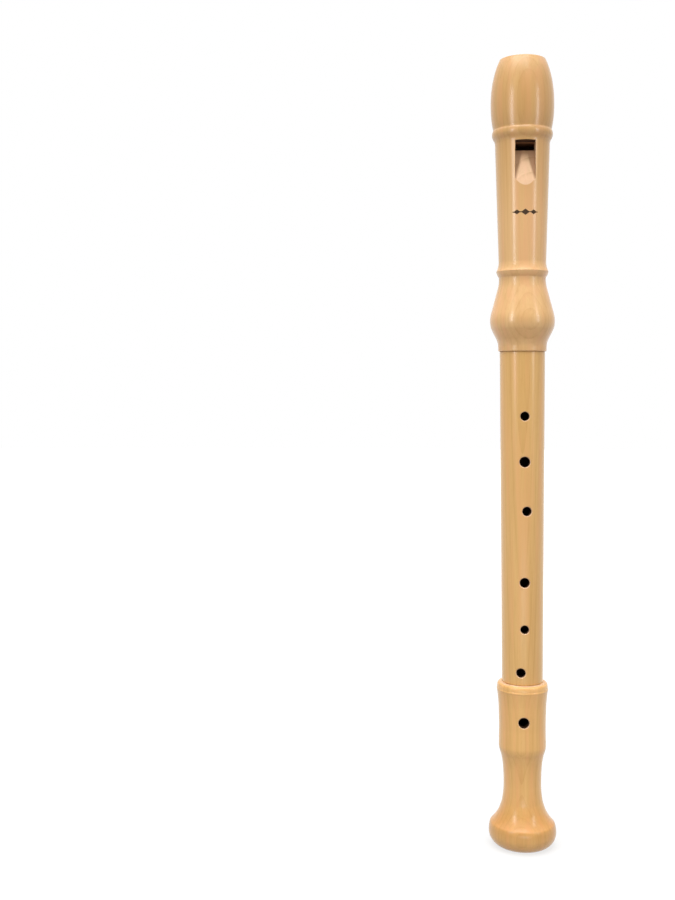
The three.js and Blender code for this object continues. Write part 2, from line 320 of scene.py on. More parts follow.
def drill(name, radius, height, turn, outline):
    """A drill for one tone hole, with the round of its lip above it. It starts inside the bore, and its
    rings sag with the tube's own roundness, so that the lip is as wide at the sides as above and below."""
    wall = outside_radius(outline, height)
    bpy.ops.object.select_all(action="DESELECT")
    bpy.ops.mesh.primitive_circle_add(
        vertices=HOLE_FACETS,
        radius=radius * MM,
        fill_type="NGON",
        location=(0, -DRILL_FROM * MM, height),
        rotation=(math.pi / 2, 0, 0),
    )
    bit = bpy.context.object
    bit.name = name
    bpy.ops.object.transform_apply(location=True, rotation=True)
    edit(bit)
    rings = [(radius, wall - LIP_ROUND * math.sin(LIP_TURN) * MM)]
    for i in range(1, LIP_STEPS + 1):
        angle = LIP_TURN * i / LIP_STEPS
        depth = LIP_ROUND * (math.sin(LIP_TURN) - math.sin(angle))
        rings.append((radius + LIP_ROUND * (1 - math.cos(angle)), wall - depth * MM))
    rings.append((rings[-1][0] + DRILL_FLARE, wall + DRILL_FLARE / math.tan(LIP_TURN) * MM))
    rings.append((rings[-1][0], wall + DRILL_PAST * MM))
    last_r, last_y = radius, DRILL_FROM * MM
    for ring_r, out in rings:
        bpy.ops.mesh.extrude_region_move(TRANSFORM_OT_translate={"value": (0, last_y - out, 0)})
        grow = ring_r / last_r
        bpy.ops.transform.resize(value=(grow, 1, grow), center_override=(0, -out, height))
        last_r, last_y = ring_r, out
    bpy.ops.mesh.select_all(action="SELECT")
    bpy.ops.mesh.normals_make_consistent(inside=False)
    bpy.ops.object.mode_set(mode="OBJECT")
    for vertex in bit.data.vertices:
        vertex.co.y += wall - math.sqrt(wall**2 - vertex.co.x**2)
    bit.rotation_euler.z = math.radians(turn)
    bpy.ops.object.transform_apply(rotation=True)
    return bit


def joined(*pieces):
    """Several loose shapes as one object."""
    bpy.ops.object.select_all(action="DESELECT")
    for piece in pieces:
        piece.select_set(True)
    bpy.context.view_layer.objects.active = pieces[0]
    bpy.ops.object.join()
    return pieces[0]


def tenon(shoulder, direction, radius, end, cork_low, cork_high):
    """Single cuts from a tenon's shoulder to its end: a land, the groove for the cork, a land, a chamfer."""
    near, far = sorted((cork_low, cork_high), reverse=direction < 0)
    near, far = near - direction * FIT_GAP, far + direction * FIT_GAP
    groove = (radius + CORK_PROUD - CORK_THICKNESS) * MM - FIT_GAP
    radius = radius * MM
    chamfer = TENON_CHAMFER * MM
    return [
        (radius, shoulder),
        (radius, near),
        (groove, near),
        (groove, far),
        (radius, far),
        (radius, end - direction * chamfer),
        (radius - chamfer, end),
    ]


def new_group(name, takes, gives):
    """An empty shader node group, with the sockets of its input and output nodes."""
    group = bpy.data.node_groups.new(name, "ShaderNodeTree")
    for label, kind in takes:
        group.interface.new_socket(name=label, in_out="INPUT", socket_type="NodeSocket" + kind)
    for label, kind in gives:
        group.interface.new_socket(name=label, in_out="OUTPUT", socket_type="NodeSocket" + kind)
    return group, group.nodes.new("NodeGroupInput").outputs, group.nodes.new("NodeGroupOutput").inputs


def mixed(tree, factor, a, b, blend="MIX"):
    """A Mix node's colour."""
    made = node(tree, "ShaderNodeMix", data_type="RGBA", blend_type=blend)
    for socket, value in ((made.inputs[0], factor), (made.inputs[6], a), (made.inputs[7], b)):
        if isinstance(value, bpy.types.NodeSocket):
            tree.links.new(value, socket)
        else:
            socket.default_value = value
    return made.outputs[2]


# Close-grained wood: growth rings round the tree's heart, long fibres, drifting tone and short pores.
# "Place" is the point in the tree, with the heart along Z, so a turned shape cuts the rings in ovals.
DRIFT_DEPTH = 0.45
FIBRE_DEPTH = 0.3
LATE_WOOD_SHARPNESS = 5.0
PORE_ROUGHNESS = 0.25
FIBRE_RELIEF = 0.35
grain, taken, given = new_group(
    "wood_grain",
    [
        ("Place", "Vector"),
        ("Pale", "Color"),
        ("Deep", "Color"),
        ("Rose", "Color"),
        ("Rings", "Float"),
        ("Ring Strength", "Float"),
        ("Pore Strength", "Float"),
        ("Roughness", "Float"),
    ],
    [("Color", "Color"), ("Roughness", "Float"), ("Height", "Float")],
)


def stretched(scale):
    """The place with its directions scaled apart, so that a pattern runs along the fibres."""
    made = node(grain, "ShaderNodeVectorMath", {0: taken["Place"], 1: scale}, operation="MULTIPLY")
    return made.outputs[0]


drift = node(
    grain,
    "ShaderNodeTexNoise",
    {"Vector": stretched((1, 1, 0.03)), "Scale": 150.0, "Detail": 2.0, "Roughness": 0.55},
).outputs[0]
blush = node(
    grain,
    "ShaderNodeTexNoise",
    {"Vector": stretched((1, 1, 0.05)), "Scale": 260.0, "Detail": 1.0, "Distortion": 0.3},
).outputs[0]
fibres = node(
    grain,
    "ShaderNodeTexNoise",
    {"Vector": stretched((1, 1, 0.018)), "Scale": 1500.0, "Detail": 3.0, "Roughness": 0.65},
).outputs[0]
rings = node(
    grain,
    "ShaderNodeTexWave",
    {
        "Vector": stretched((1, 1, 0.12)),
        "Scale": taken["Rings"],
        "Distortion": 1.6,
        "Detail": 2.0,
        "Detail Scale": 0.35,
    },
    wave_type="RINGS",
    rings_direction="Z",
    wave_profile="SAW",
).outputs["Fac"]
late_wood = math_node(grain, "POWER", rings, LATE_WOOD_SHARPNESS)
pores = node(
    grain,
    "ShaderNodeTexVoronoi",
    {"Vector": stretched((1, 1, 0.1)), "Scale": 1500.0, "Randomness": 1.0},
).outputs["Distance"]
pores = spread(grain, pores, 0.12, 0.2, 1.0, 0.0)
pores = math_node(grain, "MULTIPLY", pores, spread(grain, fibres, 0.4, 0.6))
streaks = spread(grain, fibres, 0.3, 0.7)
streaks = math_node(grain, "MULTIPLY", streaks, FIBRE_DEPTH)
depth = math_node(grain, "MULTIPLY", spread(grain, drift, 0.32, 0.68), DRIFT_DEPTH)
depth = math_node(grain, "ADD", depth, streaks)
depth = math_node(grain, "ADD", depth, math_node(grain, "MULTIPLY", late_wood, taken["Ring Strength"]))
pored = math_node(grain, "MULTIPLY", pores, taken["Pore Strength"])
depth = math_node(grain, "ADD", depth, pored, clamp=True)
tone = mixed(grain, depth, taken["Pale"], taken["Deep"])
tone = mixed(grain, spread(grain, blush, 0.45, 0.7, 0.0, 0.7), tone, taken["Rose"])
grain.links.new(tone, given["Color"])
rough = math_node(grain, "MULTIPLY", pored, PORE_ROUGHNESS)
rough = math_node(grain, "ADD", taken["Roughness"], rough)
rough = math_node(grain, "ADD", rough, spread(grain, fibres, 0.3, 0.7, -0.03, 0.03))
grain.links.new(rough, given["Roughness"])
height = math_node(grain, "MULTIPLY", fibres, FIBRE_RELIEF)
height = math_node(grain, "SUBTRACT", height, pored)
grain.links.new(height, given["Height"])


def timber(name, place, turn, pale, deep, rose, ring_count, ring_strength, pore_strength, roughness):
    """A wood with its own place and lean in the tree: the material and its grain and end-grain outputs."""
    material = bpy.data.materials.new(name)
    material.use_nodes = True
    tree = material.node_tree
    point = node(tree, "ShaderNodeTexCoord").outputs
    billet = node(
        tree,
        "ShaderNodeMapping",
        {"Vector": point["Object"], "Location": place, "Rotation": [math.radians(a) for a in turn]},
    )
    wood = node(
        tree,
        "ShaderNodeGroup",
        {
            "Place": billet.outputs[0],
            "Pale": (*pale, 1),
            "Deep": (*deep, 1),
            "Rose": (*rose, 1),
            "Rings": ring_count,
            "Ring Strength": ring_strength,
            "Pore Strength": pore_strength,
            "Roughness": roughness,
        },
        node_tree=grain,
    )
    lean = node(tree, "ShaderNodeSeparateXYZ", {0: point["Normal"]}).outputs[2]
    end_grain = spread(tree, math_node(tree, "ABSOLUTE", lean), 0.25, 0.95)
    return material, wood.outputs, end_grain


def coated(material, colour, roughness, height, gloss, bump):
    """Feeds a grain's outputs to the material's shader, under a thin clear finish. The bump's relief is in
    millimetres."""
    tree = material.node_tree
    surface = tree.nodes["Principled BSDF"]
    tree.links.new(colour, surface.inputs["Base Color"])
    tree.links.new(roughness, surface.inputs["Roughness"])
    relief = node(tree, "ShaderNodeBump", {"Height": height, "Distance": bump * MM, "Strength": 1.0})
    tree.links.new(relief.outputs[0], surface.inputs["Normal"])
    surface.inputs["Specular IOR Level"].default_value = WOOD_SPECULAR
    surface.inputs["Coat Weight"].default_value = gloss
    surface.inputs["Coat Roughness"].default_value = SATIN
    return material


WOOD_SPECULAR = 0.2
SATIN = 0.24
MAPLE_RINGS = 120.0
MAPLE_PALE = (0.71, 0.425, 0.145)
MAPLE_DEEP = (0.55, 0.29, 0.078)
MAPLE_ROSE = (0.70, 0.365, 0.13)
END_GRAIN_TINT = (1.0, 0.88, 0.70)
RAW_PALE = (0.77, 0.52, 0.32)
RAW_DEEP = (0.56, 0.35, 0.19)
RAW_ROSE = (0.73, 0.45, 0.28)
# The bore wood: darkened by oil, and near black with painted shade.
SHADED_BORE_PALE = (0.085, 0.04, 0.02)
SHADED_BORE_DEEP = (0.035, 0.015, 0.009)


def finished_maple(name, place, turn, lift=(1.0, 1.0, 1.0)):
    """Maple under a thin satin lacquer, which soaks deeper into the end grain. Lift scales the joint's tones,
    to darken or pale one joint as a whole."""
    tones = [tuple(a * c for a, c in zip(lift, tone)) for tone in (MAPLE_PALE, MAPLE_DEEP, MAPLE_ROSE)]
    material, wood, end_grain = timber(
        name,
        place,
        turn,
        *tones,
        ring_count=MAPLE_RINGS,
        ring_strength=0.33,
        pore_strength=0.25,
        roughness=0.42,
    )
    tree = material.node_tree
    soaked = mixed(tree, end_grain, wood["Color"], (*END_GRAIN_TINT, 1), "MULTIPLY")
    return coated(material, soaked, wood["Roughness"], wood["Height"], gloss=0.8, bump=0.02)


def bare_maple(name, place, turn, tones, ring_strength):
    """Maple without lacquer."""
    material, wood, _ = timber(
        name,
        place,
        turn,
        *tones,
        ring_count=MAPLE_RINGS,
        ring_strength=ring_strength,
        pore_strength=0.3,
        roughness=0.6,
    )
    return coated(material, wood["Color"], wood["Roughness"], wood["Height"], gloss=0.0, bump=0.03)


def raw_maple(name, place, turn):
    """The same billet where a chisel, a countersink or the parting tool has left it bare and pale."""
    return bare_maple(name, place, turn, (RAW_PALE, RAW_DEEP, RAW_ROSE), ring_strength=0.5)


def shaded_bare_bore(name, place):
    """The inside of the bore and its holes, unlacquered and darkened by linseed oil, and near black with
    painted shade on top.
    """
    return bare_maple(name, place, (0, 0, 0), (SHADED_BORE_PALE, SHADED_BORE_DEEP, SHADED_BORE_PALE), ring_strength=0.3)


# The third finish is the bore's oiled wood, dark with painted shade.
LACQUERED, RAW, SHADED_OILED = range(3)


def surfaced(piece, finishes, finish_of):
    """Gives each face the wood that it shows: lacquered, raw, or the oiled bore wood that is dark with painted
    shade; and smooths all but real edges.
    """
    piece.data.materials.clear()
    for material in finishes:
        piece.data.materials.append(material)
    for face in piece.data.polygons:
        radius = math.hypot(face.center.x, face.center.y)
        face.material_index = finish_of(face.center, radius)
    bpy.ops.object.select_all(action="DESELECT")
    piece.select_set(True)
    bpy.context.view_layer.objects.active = piece
    bpy.ops.object.shade_smooth_by_angle(angle=SMOOTH_ANGLE)


round_mm = SHOULDER_ROUND * MM
tube_foot = (TUBE_BOTTOM_R * MM, lower_shoulder + round_mm)
tube_head = (TUBE_TOP_R * MM, upper_shoulder - round_mm)
lower_tenon = tenon(lower_shoulder, -1, LOWER_TENON_R, middle_low, lower_cork_low, lower_cork_high)
upper_tenon = tenon(upper_shoulder, 1, UPPER_TENON_R, middle_high, upper_cork_low, upper_cork_high)
bore_foot = (MIDDLE_BORE_BOTTOM_R * MM, middle_low)
middle_outline = drawn(
    bore_foot,
    *[[point] for point in reversed(lower_tenon)],
    [(tube_foot[0] - round_mm, lower_shoulder)],
    [(tube_foot[0], lower_shoulder), tube_foot],
)
middle_outline += drawn(tube_foot, straight(tube_foot, tube_head), step=TUBE_STEP)[1:]
middle_outline += drawn(
    tube_head,
    [(tube_head[0], upper_shoulder), (tube_head[0] - round_mm, upper_shoulder)],
    *[[point] for point in upper_tenon],
    [(MIDDLE_BORE_TOP_R * MM, middle_high)],
    [bore_foot],
)[1:]

# Radius, distance from the shoulder and turn from the front of each hole
LEFT_HAND_HOLES = [
    ("thumb_hole", 3.25, 19.5, 180),
    ("first_hole", 2.7, 39.4, 0),
    ("second_hole", 3.15, 67.0, 0),
    ("third_hole", 2.8, 96.8, 6),
]
RIGHT_HAND_HOLES = [
    ("fourth_hole", 2.95, 62.2, 0),
    ("fifth_hole", 2.55, 33.9, 0),
    ("sixth_hole", 2.75, 7.7, -11),
]
middle = turned("turned_middle", middle_outline)
drills = [
    drill(name, radius, head_low - down * MM, turn, middle_outline)
    for name, radius, down, turn in LEFT_HAND_HOLES
] + [
    drill(name, radius, foot_top + up * MM, turn, middle_outline)
    for name, radius, up, turn in RIGHT_HAND_HOLES
]
combine(middle, joined(*drills), "DIFFERENCE")


MIDDLE_PLACE, MIDDLE_LEAN = (0.006, 0.034, 0.0), (1.2, -0.6, 0)


def middle_finish(centre, radius):
    """Oiled and dark with painted shade in the bore and its holes, raw on the lips, the tenons and the ends,
    and lacquered between.
    """
    depth = outside_radius(middle_outline, centre.z) - radius
    if depth > DARK_DEPTH * MM and middle_low + NEAR < centre.z < middle_high - NEAR:
        return SHADED_OILED
    on_tube = lower_shoulder + HAIR < centre.z < upper_shoulder - HAIR
    return LACQUERED if on_tube and depth < LIP_SHEEN * MM else RAW


surfaced(
    middle,
    [
        finished_maple("maple_middle", MIDDLE_PLACE, MIDDLE_LEAN),
        raw_maple("raw_maple_middle", MIDDLE_PLACE, MIDDLE_LEAN),
        shaded_bare_bore("oiled_shaded_maple_middle", MIDDLE_PLACE),
    ],
    middle_finish,
)
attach(middle, "middle")
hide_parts("middle_joint")


# ------------------------------------------------------------------ Cork laps
# A strip of sheet cork is glued into the groove of each tenon, with a slanting joint where its ends
# meet, and sanded until it stands a little proud. Grease darkens it where it slides in the socket.

CORK_ROUND = 0.35
CORK_TAN = (0.46, 0.27, 0.13, 1)
CORK_BROWN = (0.16, 0.075, 0.035, 1)
CORK_PALE = (0.60, 0.40, 0.22, 1)
SEAM_BROWN = (0.05, 0.025, 0.015, 1)
SEAM_LEAN = 0.45
SEAM_SPACING = 0.0045
SEAM_HALF = 0.00012
SEAM_BEHIND = (0.0108, 0.0111)


def cork_material():
    """Pressed cork: pale and tan cells, with dark woody specks, and a slanting glue line at the back."""
    material = bpy.data.materials.new("greased_cork")
    material.use_nodes = True
    tree = material.node_tree
    point = node(tree, "ShaderNodeTexCoord").outputs["Object"]
    cells = node(tree, "ShaderNodeTexVoronoi", {"Vector": point, "Scale": 1100.0}).outputs
    clouds = node(tree, "ShaderNodeTexNoise", {"Vector": point, "Scale": 420.0, "Detail": 4.0}).outputs[0]
    specks = node(
        tree,
        "ShaderNodeTexNoise",
        {"Vector": point, "Scale": 900.0, "Detail": 5.0, "Roughness": 0.7, "Distortion": 1.5},
    ).outputs[0]
    tone = mixed(tree, spread(tree, clouds, 0.35, 0.65), CORK_TAN, CORK_PALE)
    tone = mixed(tree, spread(tree, cells["Distance"], 0.35, 0.75, 0.0, 0.4), tone, CORK_BROWN)
    specks = spread(tree, specks, 0.58, 0.66)
    tone = mixed(tree, math_node(tree, "MULTIPLY", specks, 0.85), tone, CORK_BROWN)
    parts = node(tree, "ShaderNodeSeparateXYZ", {0: point}).outputs
    slant = math_node(tree, "ADD", parts[0], math_node(tree, "MULTIPLY", parts[2], SEAM_LEAN))
    slant = math_node(tree, "PINGPONG", slant, SEAM_SPACING)
    seam = spread(tree, math_node(tree, "ABSOLUTE", slant), 0.0, SEAM_HALF, 1.0, 0.0)
    seam = math_node(tree, "MULTIPLY", seam, spread(tree, parts[1], *SEAM_BEHIND))
    tone = mixed(tree, math_node(tree, "MULTIPLY", seam, 0.8), tone, SEAM_BROWN)
    surface = tree.nodes["Principled BSDF"]
    tree.links.new(tone, surface.inputs["Base Color"])
    rough = spread(tree, clouds, 0.3, 0.7, 0.5, 0.72)
    tree.links.new(rough, surface.inputs["Roughness"])
    pits = math_node(tree, "SUBTRACT", clouds, specks)
    relief = node(tree, "ShaderNodeBump", {"Height": pits, "Distance": 0.06 * MM, "Strength": 1.0})
    tree.links.new(relief.outputs[0], surface.inputs["Normal"])
    return material


greased_cork = cork_material()


def cork_lap(name, cork_node, body, tenon_r):
    """A lap of cork in its groove, with its edges sanded round."""
    low, high = (corner.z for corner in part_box(cork_node))
    outer = (tenon_r + CORK_PROUD) * MM
    inner = outer - CORK_THICKNESS * MM
    soft = CORK_ROUND * MM
    outline = drawn(
        (inner, low),
        [(outer - soft, low)],
        [(outer, low), (outer, low + soft)],
        straight((outer, low + soft), (outer, high - soft)),
        [(outer, high), (outer - soft, high)],
        [(inner, high)],
        [(inner, low)],
    )
    lap = turned(name, outline)
    lap.data.materials.append(greased_cork)
    bpy.ops.object.shade_smooth_by_angle(angle=SMOOTH_ANGLE)
    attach(lap, body)
    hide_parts(cork_node)


cork_lap("upper_cork_lap", "upper_cork", "upper_lap", UPPER_TENON_R)
cork_lap("lower_cork_lap", "lower_cork", "lower_lap", LOWER_TENON_R)


# ------------------------------------------------------------------ Head joint
# Maple, turned with a bulge round the socket, two ringed beads and a swelling barrel under the beak.
# The bore is drilled through, the window and its ramp are cut with chisels, and the back of the beak
# is hollowed across for the lower lip.

HEAD_BORE_R = 9.75
SOCKET_END_GAP = 0.6
LIP_SOFT = 0.4
BLOCK_LENGTH = 52.5
WINDWAY_WIDTH = 12.3
WINDWAY_FLOOR_Y = -9.2
WINDWAY_EXIT_HEIGHT = 1.4
WINDWAY_ENTRY_HEIGHT = 2.2
CUT_UP = 4.8
LABIUM_THICKNESS = 0.5
RAMP_ANGLE = math.radians(14.4)
WINDOW_SPLAY = math.radians(7)
UNDERCUT_LENGTH = 8
BEAK_TIP_THICKNESS = 12.6
BEAK_TIP_R = 14.4
BEAK_TIP_ROUND = 0.6
BEAK_SCOOP_R = 48
SCOOP_LENGTH = 42
RIDGE_SOFTNESS = 2.4
MARK_HEIGHT = 0.385
MARK_INK = (0.02, 0.013, 0.01, 1)
LOZENGE_SLENDER = 1.4
BIG_LOZENGE = 0.0026
SMALL_LOZENGE = 0.0020
SMALL_LOZENGE_OUT = 0.0050
LINE_REACH = 0.0072
LINE_HALF = 0.00025
INK_EDGE = 0.0001
HEAD_PLACE, HEAD_LEAN = (-0.012, 0.05, 0.02), (-0.8, 0.9, 0)
HEAD_FADE = (1.26, 1.32, 1.62, 1)
FADE_SPAN = (0.44, 0.38)
RAMP_SHADE = (0.56, 0.49, 0.43, 1)
CORNER_SPAN = (-0.0100, -0.0086)
LABIUM_SPAN = (-0.0122, -0.0106)
ABOVE_SOCKET = (0.37, 0.38)
HEAD_CAST = (0.80, 0.78, 0.79)
CHISEL_REACH = 30
WINDOW_RISE = 1.6
WINDWAY_REACH = 3.5

up = along(head_low, 1)
down = along(head_top, -1)
socket_r = (UPPER_TENON_R + CORK_PROUD) + FIT_GAP / MM
socket_floor = middle_high + SOCKET_END_GAP * MM
head_outline = drawn(
    (0, socket_floor),
    [(HEAD_BORE_R * MM, socket_floor)],
    [(socket_r * MM, socket_floor)],
    [up(socket_r, LIP_SOFT)],
    [up(socket_r, 0), up(socket_r + LIP_SOFT, 0)],
    [up(14.62 - LIP_SOFT, 0)],
    [up(14.62, 0), up(14.63, LIP_SOFT)],
    straight(up(14.63, LIP_SOFT), up(14.7, 2.9)),
    [up(14.75, 5.2), up(15.9, 7.7)],
    [up(17.6, 10.8), up(18.9, 13.8)],
    [up(19.78, 16.4), up(19.6, 19.6)],
    [up(19.5, 21.4), up(18.9, 23.7)],
    straight(up(18.9, 23.7), up(15.2, 37.6)),
    [up(14.25, 41), up(14.2, 43.4)],
    [up(14.2, 44.5), up(14.3, 45.2)],
    [up(15.4, 46.6), up(15.85, 48.8)],
    [up(14.6, 51.2), up(14.4, 54.4)],
    straight(up(14.4, 54.4), down(16.64, 51.9)),
    [down(16.7, 50.6), down(17.2, 49.4)],
    [down(18.3, 47.8), down(18.48, 46.2)],
    [down(18.55, 44.3), down(17.8, 43.3)],
    [down(17.7, 43.1), down(17.85, 42.2)],
    [down(19.3, 36), down(19.3, 27)],
    [down(19.2, 11), down(BEAK_TIP_R, BEAK_TIP_ROUND)],
    [down(BEAK_TIP_R - 0.2, 0), down(BEAK_TIP_R - 1.0, 0)],
    [down(0, 0)],
)
head = turned("turned_head", head_outline)
scoop_axis_y = (BEAK_TIP_THICKNESS - BEAK_TIP_R + BEAK_SCOOP_R) * MM


def scoop_back(height):
    """Where the scoop's surface lies behind the bore's axis at a height."""
    return scoop_axis_y - math.sqrt((BEAK_SCOOP_R * MM) ** 2 - (head_top - height) ** 2)


def hollow_beak(piece):
    """Slides each point of the turned beak along its ray from the beak's own middle, to the turned
    surface or the scoop, whichever is nearer, with the ridge between the two rubbed soft."""
    soft = RIDGE_SOFTNESS * MM
    for vertex in piece.data.vertices:
        x, y, z = vertex.co
        if head_top - z > SCOOP_LENGTH * MM:
            continue
        radius = math.hypot(x, y)
        at_tip = head_top - z < BEAK_TIP_ROUND * MM
        full = BEAK_TIP_R * MM if at_tip else radius
        back = scoop_back(z)
        centre = (min(back, full) - full) / 2
        if radius < 1e-6:
            vertex.co.y = centre
            continue
        dx, dy = x / radius, y / radius
        to_turned = -centre * dy + math.sqrt((centre * dy) ** 2 + full**2 - centre**2)
        to_scoop = (back - centre) / dy if dy > 1e-6 else math.inf
        reach = min(to_turned, to_scoop)
        overlap = max(soft - abs(to_turned - to_scoop), 0.0) / soft if to_scoop < math.inf else 0.0
        reach = (reach - overlap**2 * soft / 4) * radius / full
        vertex.co.x, vertex.co.y = reach * dx, centre + reach * dy


hollow_beak(head)


def crosswise(name, corners, width):
    """A shape drawn in side view as (y, height) corners, filled, and extruded across the joint."""
    half = width * MM / 2
    shape = wire(name, [(-half, y * MM, height) for y, height in corners])
    bpy.ops.mesh.edge_face_add()
    bpy.ops.mesh.extrude_region_move(TRANSFORM_OT_translate={"value": (2 * half, 0, 0)})
    bpy.ops.mesh.select_all(action="SELECT")
    bpy.ops.mesh.normals_make_consistent(inside=False)
    bpy.ops.object.mode_set(mode="OBJECT")
    return shape


window_top = head_top - BLOCK_LENGTH * MM
labium_height = window_top - CUT_UP * MM
labium_edge = -(HEAD_BORE_R + LABIUM_THICKNESS)
inside = WINDWAY_FLOOR_Y + HEAD_BORE_R / 2
chisel_depth = CHISEL_REACH + labium_edge
ramp_end = labium_height - chisel_depth / math.tan(RAMP_ANGLE) * MM
bore_reamer = turned(
    "bore_reamer",
    drawn(
        (0, socket_floor - MM),
        [(HEAD_BORE_R * MM, socket_floor - MM)],
        [(HEAD_BORE_R * MM, head_top + MM)],
        [(0, head_top + MM)],
    ),
)
windway_groove = crosswise(
    "windway_groove",
    [
        (inside, window_top),
        (inside, head_top + MM),
        (WINDWAY_FLOOR_Y - WINDWAY_ENTRY_HEIGHT, head_top + MM),
        (WINDWAY_FLOOR_Y - WINDWAY_EXIT_HEIGHT, window_top),
    ],
    WINDWAY_WIDTH,
)
window_and_ramp = crosswise(
    "window_and_ramp",
    [
        (inside, labium_height),
        (inside, window_top + HAIR),
        (labium_edge, window_top + HAIR),
        (-CHISEL_REACH, window_top + chisel_depth * math.tan(WINDOW_SPLAY) * MM),
        (-CHISEL_REACH, ramp_end),
        (labium_edge, labium_height),
    ],
    WINDWAY_WIDTH + 0.02,
)
bore_side = -math.sqrt(HEAD_BORE_R**2 - (WINDWAY_WIDTH / 2) ** 2)
undercut = crosswise(
    "labium_undercut",
    [
        (0, labium_height - UNDERCUT_LENGTH * MM),
        (0, labium_height + HAIR),
        (-HEAD_BORE_R, labium_height + HAIR),
        (bore_side, labium_height - UNDERCUT_LENGTH * MM),
    ],
    WINDWAY_WIDTH - 0.02,
)
for cutter in (windway_groove, window_and_ramp, undercut):
    combine(bore_reamer, cutter, "UNION")
combine(head, bore_reamer, "DIFFERENCE")


def stamped_maple():
    """The head's maple, which pales from the beak to the socket, with a plain stamped ornament below
    the window: a lozenge between two others, on a line."""
    material = finished_maple("maple_head", HEAD_PLACE, HEAD_LEAN, HEAD_CAST)
    tree = material.node_tree
    surface = tree.nodes["Principled BSDF"]
    point = node(tree, "ShaderNodeTexCoord").outputs["Object"]
    parts = node(tree, "ShaderNodeSeparateXYZ", {0: point}).outputs
    across = math_node(tree, "ABSOLUTE", parts[0])
    rise = math_node(tree, "ABSOLUTE", math_node(tree, "SUBTRACT", parts[2], MARK_HEIGHT))
    steep = math_node(tree, "MULTIPLY", rise, LOZENGE_SLENDER)
    side = math_node(tree, "ABSOLUTE", math_node(tree, "SUBTRACT", across, SMALL_LOZENGE_OUT))
    shapes = [
        (math_node(tree, "ADD", across, steep), BIG_LOZENGE),
        (math_node(tree, "ADD", side, steep), SMALL_LOZENGE),
        (math_node(tree, "MAXIMUM", rise, math_node(tree, "SUBTRACT", across, LINE_REACH)), LINE_HALF),
    ]
    mask = 0.0
    for off, size in shapes:
        inside_shape = spread(tree, off, size, size + INK_EDGE, 1.0, 0.0)
        mask = math_node(tree, "MAXIMUM", mask, inside_shape)
    front = spread(tree, parts[1], -0.001, 0.001, 1.0, 0.0)
    mask = math_node(tree, "MULTIPLY", mask, front)
    tone = surface.inputs["Base Color"].links[0].from_socket
    tone = mixed(tree, spread(tree, parts[2], *FADE_SPAN), tone, HEAD_FADE, "MULTIPLY")
    inked = mixed(tree, math_node(tree, "MULTIPLY", mask, 0.94), tone, MARK_INK)
    tree.links.new(inked, surface.inputs["Base Color"])
    matt = math_node(tree, "SUBTRACT", 1.0, mask)
    matt = math_node(tree, "MULTIPLY", matt, surface.inputs["Coat Weight"].default_value)
    tree.links.new(matt, surface.inputs["Coat Weight"])
    rough = surface.inputs["Roughness"].links[0].from_socket
    rough = math_node(tree, "MAXIMUM", rough, math_node(tree, "MULTIPLY", mask, 0.8))
    tree.links.new(rough, surface.inputs["Roughness"])
    return material


def shaded_raw_maple():
    """The head's bare wood, toned darker at the labium and in the ramp's corners, where the window's
    walls shade it, so that a paler tongue is left between them."""
    material = raw_maple("raw_maple_head", HEAD_PLACE, HEAD_LEAN)
    tree = material.node_tree
    surface = tree.nodes["Principled BSDF"]
    point = node(tree, "ShaderNodeTexCoord").outputs["Object"]
    parts = node(tree, "ShaderNodeSeparateXYZ", {0: point}).outputs
    beside = math_node(tree, "ADD", math_node(tree, "ABSOLUTE", parts[0]), parts[1])
    shade = spread(tree, beside, *CORNER_SPAN)
    shade = math_node(tree, "MAXIMUM", shade, spread(tree, parts[1], *LABIUM_SPAN))
    shade = math_node(tree, "MULTIPLY", shade, spread(tree, parts[2], *ABOVE_SOCKET))
    tone = surface.inputs["Base Color"].links[0].from_socket
    tone = mixed(tree, shade, tone, RAMP_SHADE, "MULTIPLY")
    tree.links.new(tone, surface.inputs["Base Color"])
    return material


def head_finish(centre, radius):
    """Oiled and dark with painted shade in the bore below the window, raw where it was cut after turning, and
    lacquered outside. The window's upper wall gets the same dark bore wood as painted shade.
    """
    if radius < HEAD_BORE_R * MM + 3 * HAIR and centre.z < window_top:
        return SHADED_OILED
    if centre.z < socket_floor + NEAR:
        in_socket = radius < (socket_r + LIP_SOFT) * MM or centre.z < head_low + HAIR
        return RAW if in_socket else LACQUERED
    in_cut = abs(centre.x) < WINDWAY_WIDTH / 2 * MM + 2 * HAIR and centre.y < 0
    depth = outside_radius(head_outline, centre.z) - radius
    if in_cut and depth > NEAR and centre.z < window_top + WINDOW_RISE * MM:
        # Painted shade: the window's upper wall, and the end of the windway just above it, take the dark bore
        # wood.
        return RAW if centre.z < window_top - NEAR / 2 else SHADED_OILED
    in_windway = in_cut and radius < (HEAD_BORE_R + WINDWAY_REACH) * MM
    return RAW if radius < HEAD_BORE_R * MM or in_windway else LACQUERED


surfaced(
    head,
    [
        stamped_maple(),
        shaded_raw_maple(),
        shaded_bare_bore("oiled_shaded_maple_head", HEAD_PLACE),
    ],
    head_finish,
)
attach(head, "head")
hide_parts("head_joint")


# ------------------------------------------------------------------ Block
# A plug of red cedar that closes the bore below the beak. Its flat rib is the windway's floor, with
# a small chamfer where the air leaves it, and its back is hollowed in one sweep with the beak.

BLOCK_GAP = 0.1
EXIT_CHAMFER = 0.6
END_CHAMFER = 0.4
RIB_SPARE = 0.5
CEDAR_PALE = (0.46, 0.20, 0.085)
CEDAR_DEEP = (0.27, 0.095, 0.04)
CEDAR_ROSE = (0.40, 0.15, 0.07)

